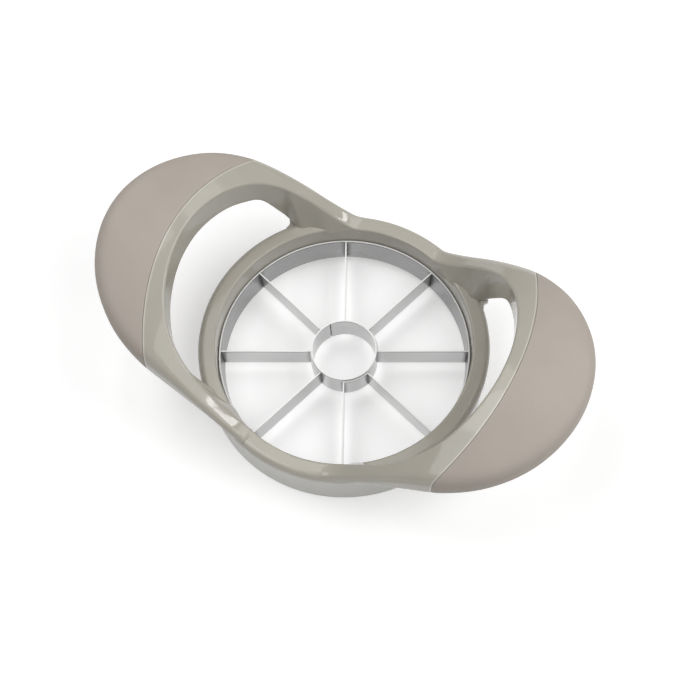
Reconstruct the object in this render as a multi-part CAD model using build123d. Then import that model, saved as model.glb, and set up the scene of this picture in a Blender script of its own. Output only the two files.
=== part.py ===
from build123d import *
import os
from math import acos, asin, atan2, cos, degrees, exp, log1p, radians, sin, sqrt

# Apple wedger press.  Origin: middle of the base ring on the table, +Z up.
# X runs along the two raised loop handles, Y across them.  Millimetres.

# ---- heights; every "rise" is above the rim of the steel band ----
rim_z = 15.0
crest_rise = 7.5
lip_rise = 3.5

# ---- steel band round the cutter, slightly conical ----
steel = 0.5
band_r = 45.3
band_taper = 0.8
band_height = 10.4

# ---- round frame: a flange with a collar that holds the band ----
crest_gap = 0.8
crest_round = 0.8
flange_width = 6.2
flange_round = 2.4
lip_round = 0.8
collar_wall = 2.6
collar_below_band = 0.6
groove_width = 0.3
groove_depth = 1.0

# ---- base ring, pushed up round the collar to the underside of the flange ----
base_fit = 0.3
base_wall = 2.5
base_round = 0.6

# ---- core ring, rolled from strip with an open butt seam ----
core_r = 11.85
core_rise = 1.2
core_height = 10.8
core_seam_width = 0.4
core_seam_angle = 141.6

# ---- four double blades, each one bent strip ----
blade_count = 4
blade_first_angle = 24.7
blade_span = 45.0
blade_height = 9.7
edge_height = 1.2
edge_taper = 6.0

# ---- loop handles, plan ----
kink_x = 19.3
end_centre_x = 45.4
end_r = 44.5
seam_x = 64.9
seam_r = 92.5
seam_gap = 0.15
tongue_top_skin = 2.2
tongue_side_skin = 2.6
tongue_root = 1.5

# ---- loop handles, heights of the crowned top surface ----
# At its low end the surface flows into the flange's top in a soft fold.
surface_x = 55.0
surface_x_unit = 40.0
surface_y_unit = 45.0
rise_terms = (42.03, 17.16, -29.94, 4.14, 12.13)
crown_terms = (-11.08, -7.39, 7.69)
fold_softness = 0.6
edge_round = 6.0
under_round = 3.0

# ---- sections along half a loop, from the flange to the tip ----
# The root section lies just inside the flange.
root_x = 15.5
root_inset = 0.35
root_sink = 0.12
root_section = (246.5, -0.6, 5.2, 3.2)
# place on the arm's outer line (share of its length), rail width, direction across
# the rail, inward lean of the inner wall, rise of its foot, depth of the outer wall
arm_sections = [
    (0.00, 6.0, 247.2, 0.35, 6.0, 3.4),
    (0.12, 5.8, 250.1, 1.9, 6.0, 3.4),
    (0.30, 5.65, 251.5, 4.25, 6.0, 4.2),
    (0.49, 5.8, 248.5, 4.4, 6.6, 6.5),
    (0.68, 6.75, 241.0, 5.6, 5.2, 8.7),
    (0.79, 7.7, 237.2, 2.2, 7.8, 9.7),
    (0.92, 9.2, 233.0, 1.6, 13.0, 10.5),
]
# angle on the end circle, rail width, direction across the rail, inward lean
end_sections = [
    (76.0, 12.5, 229.3, 0.8),
    (64.0, 16.85, 219.0, 0.5),
    (52.0, 20.95, 211.3, 0.5),
    (39.0, 24.65, 202.9, 0.5),
    (24.0, 27.7, 194.0, 0.5),
    (10.5, 29.2, 185.7, 0.5),
    (0.0, 29.6, 180.0, 0.5),
]
loop_depth = 11.0

# ---- web that rounds each corner between an arm and the flange ----
# Its turns are angles from the corner, its inset lies inside the flange's edge.
corner_section = 2
web_turn = 8.06
web_inset = 0.455
web_length = 5.0
web_width = 3.6
web_foot_rise = 4.4
web_height = 2.0
web_round = 2.5
hollow_turn = 11.432

# ---- shaping of the sections ----
round_share = 0.42
depth_share = 0.6
under_share = 0.25
slope_step = 0.1
same_size = 0.01
cut_height = 200.0

# ---- sizes that follow ----
flange_z = rim_z + crest_rise
lip_z = rim_z + lip_rise
groove_z = rim_z - groove_depth
crest_r = band_r + crest_gap
flange_r = crest_r + flange_width
collar_r = band_r + collar_wall
collar_z = rim_z - band_height - collar_below_band
base_inner_r = collar_r + base_fit
base_outer_r = base_inner_r + base_wall
band_z = rim_z - band_height
core_z = rim_z + core_rise - core_height
blade_z = rim_z - blade_height
wrap_r = core_r + steel


def polar(radius, angle):
    return (radius * cos(radians(angle)), radius * sin(radians(angle)))


def on_circle(radius, x):
    return sqrt(radius**2 - x**2)


def power_sum(terms, value):
    total = 0.0
    for power, term in enumerate(terms):
        total += term * value**power
    return total


def handle_height(x, y):
    """Height of the crowned surface, rounded off where it would pass below the flange."""
    along = (x - surface_x) / surface_x_unit
    across = (y / surface_y_unit) ** 2
    rise = power_sum(rise_terms, along) + across * power_sum(crown_terms, along)
    level = flange_z - root_sink
    return level + fold_softness * log1p(exp((rim_z + rise - level) / fold_softness))


def band_radius(z):
    """Outer radius of the conical band at a height."""
    return band_r - band_taper * (rim_z - z) / band_height


# ---- loop handles ----
def outline_places():
    """Kink, where the arm leaves the flange, and touch, where it meets the end circle."""
    end_centre = Vector(end_centre_x, 0)
    kink = Vector(kink_x, on_circle(flange_r, kink_x))
    reach = kink - end_centre
    touch_angle = degrees(atan2(reach.Y, reach.X)) - degrees(acos(end_r / reach.length))
    touch = end_centre + Vector(*polar(end_r, touch_angle))
    return end_centre, kink, touch


def half_sections():
    """Outer point, crest point, lean, foot height and outer depth of each section."""
    end_centre, kink, touch = outline_places()
    direction, lean, foot_rise, depth = root_section
    outer = Vector(root_x, on_circle(flange_r - root_inset, root_x))
    crest = outer + Vector(*polar(flange_width - 2 * root_inset, direction))
    rows = [(outer, crest, lean, rim_z + foot_rise, depth)]
    for share, width, direction, lean, foot_rise, depth in arm_sections:
        outer = kink + (touch - kink) * share
        crest = outer + Vector(*polar(width, direction))
        rows.append((outer, crest, lean, rim_z + foot_rise, depth))
    for angle, width, direction, lean in end_sections:
        outer = end_centre + Vector(*polar(end_r, angle))
        crest = outer + Vector(*polar(width, direction))
        foot_z = handle_height(crest.X, crest.Y) - loop_depth
        rows.append((outer, crest, lean, foot_z, loop_depth))
    return rows


def section_wire(row, top_skin, side_skin):
    """Closed section in the upright plane through an outer and a crest point."""
    outer, crest, lean, foot_z, depth = row
    width = (crest - outer).length
    inward = (crest - outer).normalized()

    def at(distance, z):
        spot = outer + inward * distance
        return Vector(spot.X, spot.Y, z)

    def top(distance):
        spot = outer + inward * distance
        return at(distance, handle_height(spot.X, spot.Y) - top_skin)

    def slope(distance):
        return (top(distance + slope_step) - top(distance - slope_step)).normalized()

    # The outer wall with a big rounding above and a small one below.
    big = min(edge_round, round_share * width, depth_share * depth) - side_skin / 2
    small = min(under_round, under_share * depth) - side_skin / 3
    wall_top = at(side_skin, top(side_skin + big).Z - big)
    underside_z = wall_top.Z + big + 2 * top_skin - depth
    wall_foot = at(side_skin, underside_z + small)
    under = at(side_skin + small, underside_z)
    # The inner wall, from the crest down to its foot.
    inner = width - side_skin
    foot = at(inner + lean, foot_z + top_skin)
    wall_rise = (top(inner) - foot).normalized()
    crest_top = top(inner - crest_round)
    crest_low = top(inner) - wall_rise * crest_round
    mids = [top(inner + (side_skin + big - inner) * share) for share in (0.25, 0.5, 0.75)]
    down = Vector(0, 0, -1)
    out_tangents = [-slope(side_skin + big), down]
    under_tangents = [down, (foot - under).normalized()]
    crest_tangents = [wall_rise, -slope(inner - crest_round)]
    return Wire(
        [
            Spline(crest_top, *mids, top(side_skin + big)),
            Spline(top(side_skin + big), wall_top, tangents=out_tangents),
            Line(wall_top, wall_foot),
            Spline(wall_foot, under, tangents=under_tangents),
            Line(under, foot),
            Line(foot, crest_low),
            Spline(crest_low, crest_top, tangents=crest_tangents),
        ]
    )


def mirrored_row(row):
    outer, crest, *rest = row
    return (Vector(outer.X, -outer.Y), Vector(crest.X, -crest.Y), *rest)


def loop_solid(rows, top_skin, side_skin):
    """Loft round the loop, from one side of the flange to the other."""
    sections = rows + [mirrored_row(row) for row in reversed(rows[:-1])]
    wires = [section_wire(row, top_skin, side_skin) for row in sections]
    return Solid.make_loft(wires).fix()


def seam_cylinder(gap):
    """Everything on the ring's side of the grip seam."""
    return Pos(seam_x - seam_r, 0) * Cylinder(seam_r + gap, cut_height)


def corner_angle():
    """Angle at which the inner line of the arm at +X +Y leaves the flange's edge."""
    end_centre, kink, touch = outline_places()
    along = (touch - kink).normalized()
    rail_width = arm_sections[corner_section][1]
    distance = abs(kink.cross(along).Z) - rail_width
    return degrees(atan2(along.Y, along.X)) + degrees(asin(distance / flange_r))


def corner_web():
    """Web in the corner at +X +Y, hollowed by an upright cylinder beside the flange."""
    corner = corner_angle()
    centre = polar(flange_r - web_inset, corner - web_turn)
    hollow = polar(flange_r + web_round, corner - hollow_turn)
    web = Pos(*centre) * Rectangle(web_length, web_width) - Pos(*hollow) * Circle(web_round)
    return Pos(0, 0, rim_z + web_foot_rise) * extrude(web, amount=web_height)


def loop_and_grip():
    """The frame's share of the loop at +X, and the soft grip over its tongue."""
    rows = half_sections()
    loop = loop_solid(rows, 0.0, 0.0)
    tongue = loop_solid(rows[len(arm_sections) :], tongue_top_skin, tongue_side_skin)
    tongue = tongue - seam_cylinder(-tongue_root)
    web = corner_web()
    arm = (loop & seam_cylinder(0.0)) + tongue + web + mirror(web, about=Plane.XZ)
    grip = loop - seam_cylinder(seam_gap) - tongue
    return arm, grip


# ---- turned pieces ----
def ring(points):
    """Turn a closed outline of (radius, height) points round the Z axis."""
    with BuildSketch(Plane.XZ) as sketch:
        with BuildLine():
            Polyline(*points, close=True)
        make_face()
    return revolve(sketch.sketch, Axis.Z)


def rounded(solid, radius, height, amount):
    """Round the circular edges that run at one radius and height."""
    edges = []
    for edge in solid.edges().filter_by(GeomType.CIRCLE):
        same_r = abs(edge.radius - radius) < same_size
        if same_r and abs(edge.arc_center.Z - height) < same_size:
            edges.append(edge)
    return fillet(edges, amount)


def frame_ring():
    points = [
        (crest_r, flange_z),
        (flange_r, flange_z),
        (flange_r, lip_z),
        (collar_r, lip_z),
        (collar_r, collar_z),
        (band_radius(collar_z), collar_z),
        (band_radius(groove_z), groove_z),
        (band_r + groove_width, groove_z),
    ]
    solid = rounded(ring(points), crest_r, flange_z, crest_round)
    solid = rounded(solid, flange_r, flange_z, flange_round)
    return rounded(solid, flange_r, lip_z, lip_round)


def base_ring():
    points = [
        (base_inner_r, 0.0),
        (base_outer_r, 0.0),
        (base_outer_r, lip_z),
        (base_inner_r, lip_z),
    ]
    return rounded(ring(points), base_outer_r, 0.0, base_round)


# ---- cutter ----
def outer_band():
    points = [
        (band_radius(band_z) - steel, band_z),
        (band_radius(band_z), band_z),
        (band_r, rim_z),
        (band_r - steel, rim_z),
    ]
    return ring(points)


def core_ring():
    wall = Cylinder(core_r, core_height) - Cylinder(core_r - steel, core_height)
    slot = Pos(core_r, 0) * Box(4 * steel, core_seam_width, 2 * core_height)
    wall = wall - Rot(0, 0, core_seam_angle) * slot
    return Pos(0, 0, core_z + core_height / 2) * wall


def blade_plan():
    """Plan of one strip: in along a radius, round the core, out along the next."""
    arm_length = band_r - core_r
    arm = Pos(core_r + arm_length / 2, 0) * Rectangle(arm_length, steel)
    with BuildSketch() as wrap:
        with BuildLine():
            inner = CenterArc((0, 0), core_r, 0, blade_span)
            outer = CenterArc((0, 0), wrap_r, 0, blade_span)
            Line(inner @ 0, outer @ 0)
            Line(inner @ 1, outer @ 1)
        make_face()
    return arm + Rot(0, 0, blade_span) * arm + wrap.sketch


def double_blade(angle):
    """A blade strip, cut to length by the inside of the band."""
    plan = blade_plan()
    body = extrude(plan, amount=blade_height - edge_height)
    edge = extrude(plan, amount=-edge_height, taper=edge_taper)
    strip = Pos(0, 0, blade_z + edge_height) * (body + edge)
    inside = Cone(band_radius(band_z) - steel, band_r - steel, band_height)
    strip = strip & Pos(0, 0, band_z + band_height / 2) * inside
    return Rot(0, 0, angle) * strip


arm, grip = loop_and_grip()
frame = frame_ring() + arm + mirror(arm, about=Plane.YZ)

os.makedirs("parts", exist_ok=True)
export_step(frame, "parts/handle_frame.step")
export_step(mirror(grip, about=Plane.YZ), "parts/left_grip.step")
export_step(grip, "parts/right_grip.step")
export_step(base_ring(), "parts/base_ring.step")
export_step(outer_band(), "parts/outer_band.step")
export_step(core_ring(), "parts/core_ring.step")
for number in range(blade_count):
    blade = double_blade(blade_first_angle + number * 2 * blade_span)
    export_step(blade, f"parts/double_blade_{number + 1}.step")
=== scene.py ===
import math

import bpy
from mathutils import Euler, Matrix, Vector


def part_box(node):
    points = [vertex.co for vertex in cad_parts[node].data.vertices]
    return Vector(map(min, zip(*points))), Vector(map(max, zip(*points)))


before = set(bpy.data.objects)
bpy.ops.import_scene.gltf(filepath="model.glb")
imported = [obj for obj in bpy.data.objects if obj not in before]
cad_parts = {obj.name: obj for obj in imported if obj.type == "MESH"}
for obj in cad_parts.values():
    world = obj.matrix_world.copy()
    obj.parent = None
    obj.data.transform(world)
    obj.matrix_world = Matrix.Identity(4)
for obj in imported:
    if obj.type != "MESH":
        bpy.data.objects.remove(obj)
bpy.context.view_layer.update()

MM = 0.001
WHITE = (1, 1, 1, 1)


# ---- node helpers ----
def new_material(name):
    mat = bpy.data.materials.new(name)
    mat.use_nodes = True
    mat.node_tree.nodes.clear()
    return mat


class Graph:
    """Adds nodes to a material or world and links them."""

    def __init__(self, owner):
        self.tree = owner.node_tree

    def add(self, kind, **values):
        node = self.tree.nodes.new(kind)
        for key, value in values.items():
            setattr(node, key, value)
        return node

    def link(self, source, target):
        self.tree.links.new(source, target)

    def coords(self, scale=(1, 1, 1)):
        tex = self.add("ShaderNodeTexCoord")
        mapping = self.add("ShaderNodeMapping")
        mapping.inputs["Scale"].default_value = scale
        self.link(tex.outputs["Object"], mapping.inputs["Vector"])
        return mapping.outputs["Vector"]

    def noise(self, vector, scale, detail=3.0, rough=0.5):
        node = self.add("ShaderNodeTexNoise")
        node.inputs["Scale"].default_value = scale
        node.inputs["Detail"].default_value = detail
        node.inputs["Roughness"].default_value = rough
        self.link(vector, node.inputs["Vector"])
        return node.outputs["Fac"]

    def ramp(self, value, stops):
        node = self.add("ShaderNodeValToRGB")
        elements = node.color_ramp.elements
        while len(elements) < len(stops):
            elements.new(0.5)
        for element, (place, colour) in zip(elements, stops):
            element.position = place
            element.color = (*colour, 1.0)
        self.link(value, node.inputs["Fac"])
        return node.outputs["Color"]

    def spread(self, value, low, high, start=0.3, end=0.7):
        node = self.add("ShaderNodeMapRange")
        node.inputs["From Min"].default_value = start
        node.inputs["From Max"].default_value = end
        node.inputs["To Min"].default_value = low
        node.inputs["To Max"].default_value = high
        self.link(value, node.inputs["Value"])
        return node.outputs["Result"]

    def blend(self, share, first, second, kind):
        node = self.add("ShaderNodeMix", data_type=kind)
        sockets = [socket for socket in node.inputs if socket.enabled]
        self.link(share, sockets[0])
        self.link(first, sockets[1])
        sockets[2].default_value = second
        return next(socket for socket in node.outputs if socket.enabled)

    def corners(self, distance, darkest):
        """Painted shade: one on open faces, darker in the corners between two pieces, where
        shade falls.
        """
        node = self.add("ShaderNodeAmbientOcclusion")
        node.inputs["Distance"].default_value = distance
        return self.spread(node.outputs["AO"], darkest, 1.0, 0.4, 0.85)

    def darken(self, colour, factor):
        node = self.add("ShaderNodeVectorMath", operation="SCALE")
        self.link(colour, node.inputs[0])
        self.link(factor, node.inputs["Scale"])
        return node.outputs["Vector"]

    def bump(self, height, strength, distance):
        node = self.add("ShaderNodeBump")
        node.inputs["Strength"].default_value = strength
        node.inputs["Distance"].default_value = distance
        self.link(height, node.inputs["Height"])
        return node.outputs["Normal"]


def srgb(r, g, b):
    def one(v):
        v /= 255
        return v / 12.92 if v <= 0.04045 else ((v + 0.055) / 1.055) ** 2.4

    return (one(r), one(g), one(b))


def seam_painted_highlight(g, vector):
    """Share of the painted highlight: a paler line that runs along the grip seam on each side,
    standing in for light caught on the frame's rounded edge.
    """
    mirror = g.add("ShaderNodeVectorMath", operation="ABSOLUTE")
    g.link(vector, mirror.inputs[0])
    shift = g.add("ShaderNodeVectorMath", operation="MULTIPLY_ADD")
    g.link(mirror.outputs[0], shift.inputs[0])
    shift.inputs[1].default_value = (1, 1, 0)
    shift.inputs[2].default_value = (SEAM_R - SEAM_X, 0, 0)
    reach = g.add("ShaderNodeVectorMath", operation="LENGTH")
    g.link(shift.outputs[0], reach.inputs[0])
    starts, ends = SEAM_R - SEAM_LINE_OUT, SEAM_R - SEAM_LINE_IN
    return g.spread(reach.outputs["Value"], 0.0, 1.0, starts, ends)


def plastic(name, colour, dark, roughness, grain, grain_scale, seam_highlight=False, specular=0.5):
    """Moulded plastic or rubber: mottled colour, uneven gloss, a fine surface and, if asked, a
    painted highlight along the grip seam.
    """
    mat = new_material(name)
    g = Graph(mat)
    vector = g.coords()
    cloud = g.noise(vector, 45.0, 4.0, 0.6)
    fine = g.noise(vector, grain_scale, 2.0, 0.5)
    shader = g.add("ShaderNodeBsdfPrincipled")
    out = g.add("ShaderNodeOutputMaterial")
    tone = g.ramp(cloud, [(0.35, dark), (0.65, colour)])
    if seam_highlight:
        # Painted highlight: a paler line along the grip seam.
        tone = g.blend(seam_painted_highlight(g, vector), tone, (*SEAM_HIGHLIGHT_COLOUR, 1.0), "RGBA")
    g.link(tone, shader.inputs["Base Color"])
    gloss = g.spread(fine, roughness - 0.03, roughness + 0.04)
    g.link(gloss, shader.inputs["Roughness"])
    g.link(g.bump(fine, grain, GRAIN_HEIGHT), shader.inputs["Normal"])
    shader.inputs["Specular IOR Level"].default_value = specular
    g.link(shader.outputs["BSDF"], out.inputs["Surface"])
    return mat


def steel(name, scale, roughness, tone, node, rim_depth):
    """Strip steel with fine rolling lines, a pale cut edge on top that is partly a painted
    highlight, painted shade in the corners and a painted dark line of shade below the edge.
    """
    mat = new_material(name)
    g = Graph(mat)
    vector = g.coords()
    lines = g.noise(g.coords(scale), 1.0, 3.0, 0.6)
    cloud = g.noise(vector, 60.0, 2.0, 0.5)
    shader = g.add("ShaderNodeBsdfPrincipled")
    out = g.add("ShaderNodeOutputMaterial")
    low, high = (tone * 0.95,) * 3, (tone * 1.05,) * 3
    colour = g.ramp(cloud, [(0.3, low), (0.7, high)])
    gloss = g.spread(lines, roughness - 0.06, roughness + 0.08)
    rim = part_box(node)[1][2] - rim_depth
    split = g.add("ShaderNodeSeparateXYZ")
    g.link(vector, split.inputs[0])
    height = split.outputs["Z"]
    # Painted shade: a dark line just below the top edge stands in for shade and dark
    # reflections under the edge.
    shade_line_mask = g.spread(height, 0.0, 1.0, rim - PAINTED_SHADE_LINE, rim - PAINTED_SHADE_LINE / 2)
    cut_edge_and_highlight = g.spread(height, 0.0, 1.0, rim - EDGE_SOFTNESS, rim)
    dark = (*(tone * PAINTED_SHADE_LINE_SHARE,) * 3, 1.0)
    colour = g.blend(shade_line_mask, colour, dark, "RGBA")
    # Painted shade: the steel is darkened in corners next to other pieces.
    colour = g.darken(colour, g.corners(CORNER_SHADE_REACH, CORNER_SHADE_SHARE))
    # Pale top edge: partly the strip's rough, non-metallic cut edge, partly a painted
    # highlight along the rim.
    colour = g.blend(cut_edge_and_highlight, colour, CUT_EDGE_AND_HIGHLIGHT_COLOUR, "RGBA")
    g.link(colour, shader.inputs["Base Color"])
    g.link(g.spread(cut_edge_and_highlight, 1.0, 0.0, 0.0, 1.0), shader.inputs["Metallic"])
    gloss = g.blend(cut_edge_and_highlight, gloss, CUT_EDGE_ROUGHNESS, "FLOAT")
    g.link(gloss, shader.inputs["Roughness"])
    g.link(g.bump(lines, 0.25, LINE_HEIGHT), shader.inputs["Normal"])
    g.link(shader.outputs["BSDF"], out.inputs["Surface"])
    return mat


# ---- materials ----
# The grip seam is an arc of radius SEAM_R that crosses the X axis at SEAM_X.
SEAM_X = 0.0649
SEAM_R = 0.0925
SEAM_LINE_OUT = 0.0007
SEAM_LINE_IN = 0.0004
# Colour of the painted highlight along the grip seam.
SEAM_HIGHLIGHT_COLOUR = srgb(198, 195, 185)
GRAIN_HEIGHT = 0.00005

FRAME = plastic(
    "frame_gloss",
    srgb(178, 174, 163),
    srgb(174, 170, 159),
    roughness=0.06,
    grain=0.05,
    grain_scale=700.0,
    seam_highlight=True,
)
RUBBER = plastic(
    "grip_soft",
    srgb(176, 167, 158),
    srgb(172, 163, 154),
    roughness=0.6,
    grain=0.5,
    grain_scale=2600.0,
    specular=0.35,
)
BASE = plastic(
    "base_matte",
    srgb(214, 213, 207),
    srgb(210, 209, 203),
    roughness=0.32,
    grain=0.12,
    grain_scale=1800.0,
)

# Steel: rolling lines run round the strip; heights and reaches in metres.
ROLLED = (30, 30, 1500)
LINE_HEIGHT = 0.00003
EDGE_SOFTNESS = 0.00004
# Colour of the pale top edge, partly cut steel and partly a painted highlight.
CUT_EDGE_AND_HIGHLIGHT_COLOUR = (0.88, 0.88, 0.87, 1.0)
CUT_EDGE_ROUGHNESS = 0.45
# Depth and darkness of the painted shade line below the steel's top edge.
PAINTED_SHADE_LINE = 0.0005
PAINTED_SHADE_LINE_SHARE = 0.25
# Reach and darkest share of the painted shade in steel corners.
CORNER_SHADE_REACH = 0.003
CORNER_SHADE_SHARE = 0.12

BAND = steel("band_steel", ROLLED, 0.3, 0.34, node="outer_band", rim_depth=0.0002)
CORE = steel("core_steel", ROLLED, 0.22, 0.58, node="core_ring", rim_depth=0.00006)
BLADE = steel("blade_steel", ROLLED, 0.18, 0.57, node="double_blade_1", rim_depth=0.00006)


def dress(node, mat):
    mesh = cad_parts[node].data
    mesh.materials.clear()
    mesh.materials.append(mat)


dress("handle_frame", FRAME)
dress("left_grip", RUBBER)
dress("right_grip", RUBBER)
dress("base_ring", BASE)
dress("outer_band", BAND)
dress("core_ring", CORE)
for number in range(1, 5):
    dress(f"double_blade_{number}", BLADE)


# ---- floor ----
FLOOR_HALF = 4.0
# The floor's own glow rises between these distances from the object.
GLOW_NEAR = 0.35
GLOW_FAR = 1.5


def white_for_camera(mat, diffuse, glow, far_glow):
    """A pale floor that shows white to the eye and in reflections, also far from the lamps."""
    g = Graph(mat)
    path = g.add("ShaderNodeLightPath")
    seen = g.add("ShaderNodeMath", operation="MAXIMUM")
    g.link(path.outputs["Is Camera Ray"], seen.inputs[0])
    g.link(path.outputs["Is Glossy Ray"], seen.inputs[1])
    both = g.add("ShaderNodeMath", operation="MAXIMUM")
    g.link(seen.outputs[0], both.inputs[0])
    g.link(path.outputs["Is Transmission Ray"], both.inputs[1])
    vector = g.coords()
    cloud = g.noise(vector, 8.0)
    shade = g.add("ShaderNodeBsdfDiffuse")
    tone = (diffuse,) * 3
    paler = (diffuse + 0.01,) * 3
    g.link(g.ramp(cloud, [(0.3, tone), (0.7, paler)]), shade.inputs["Color"])
    light = g.add("ShaderNodeEmission")
    reach = g.add("ShaderNodeVectorMath", operation="LENGTH")
    g.link(vector, reach.inputs[0])
    glows = g.spread(reach.outputs["Value"], glow, far_glow, GLOW_NEAR, GLOW_FAR)
    g.link(glows, light.inputs["Strength"])
    none = g.add("ShaderNodeEmission")
    none.inputs["Strength"].default_value = 0.0
    mix = g.add("ShaderNodeMixShader")
    g.link(both.outputs[0], mix.inputs["Fac"])
    g.link(none.outputs[0], mix.inputs[1])
    g.link(light.outputs[0], mix.inputs[2])
    total = g.add("ShaderNodeAddShader")
    g.link(shade.outputs[0], total.inputs[0])
    g.link(mix.outputs[0], total.inputs[1])
    out = g.add("ShaderNodeOutputMaterial")
    g.link(total.outputs[0], out.inputs["Surface"])


def floor_plane():
    mesh = bpy.data.meshes.new("floor")
    half = FLOOR_HALF
    corners = [(-half, -half, 0), (half, -half, 0), (half, half, 0), (-half, half, 0)]
    mesh.from_pydata(corners, [], [(0, 1, 2, 3)])
    obj = bpy.data.objects.new("floor", mesh)
    bpy.context.scene.collection.objects.link(obj)
    mat = new_material("floor_white")
    white_for_camera(mat, diffuse=0.72, glow=0.41, far_glow=0.9)
    mesh.materials.append(mat)


floor_plane()


# ---- light ----
# The camera looks from azimuth -60; "far" is the side opposite to it.
FAR = Vector((-0.5, 0.866, 0.0))
RIGHT = Vector((0.866, 0.5, 0.0))


def softbox(name, azimuth, elevation, length, depth, power):
    """Rectangular lamp one metre from the object; azimuth turns from RIGHT to FAR."""
    turn, lift = math.radians(azimuth), math.radians(elevation)
    level = RIGHT * math.cos(turn) + FAR * math.sin(turn)
    back = level * math.cos(lift) + Vector((0, 0, math.sin(lift)))
    side = Vector((0, 0, 1)).cross(level)
    up = back.cross(side)
    lamp = bpy.data.lights.new(name, "AREA")
    lamp.shape = "RECTANGLE"
    lamp.size = length
    lamp.size_y = depth
    lamp.energy = power
    obj = bpy.data.objects.new(name, lamp)
    obj.matrix_world = Matrix((side, up, back)).transposed().to_4x4()
    obj.location = back
    bpy.context.scene.collection.objects.link(obj)


# name, azimuth, elevation, length, depth, watts
LAMPS = [
    ("left_box", 180, 60, 0.7, 0.7, 2.8),
    ("right_box", 0, 60, 0.6, 0.5, 1.6),
    ("front_box", 315, 50, 0.7, 0.6, 2.2),
    ("far_box", 135, 65, 0.6, 0.6, 1.8),
    ("back_box", 50, 50, 0.5, 0.4, 0.9),
    ("low_strip", 355, 37, 0.7, 0.1, 2.0),
]
for lamp_row in LAMPS:
    softbox(*lamp_row)


def studio_world(strength):
    """Even light from all round, in front of a white backdrop."""
    world = bpy.data.worlds.new("studio")
    bpy.context.scene.world = world
    world.use_nodes = True
    back = world.node_tree.nodes["Background"]
    back.inputs["Color"].default_value = WHITE
    g = Graph(world)
    path = g.add("ShaderNodeLightPath")
    seen = g.spread(path.outputs["Is Camera Ray"], strength, 1.0, 0.0, 1.0)
    g.link(seen, back.inputs["Strength"])


studio_world(0.19)


# ---- camera ----
lens = bpy.data.cameras.new("camera")
lens.lens = 85.11
lens.sensor_width = 36.0
camera = bpy.data.objects.new("camera", lens)
camera.location = Vector((124.83, -216.61, 558.01)) * MM
camera.rotation_euler = Euler([math.radians(a) for a in (24.684, 1.807, 25.537)], "XYZ")
bpy.context.scene.collection.objects.link(camera)
bpy.context.scene.camera = camera
lens.clip_start = 0.01
bpy.context.scene.view_settings.view_transform = "Standard"
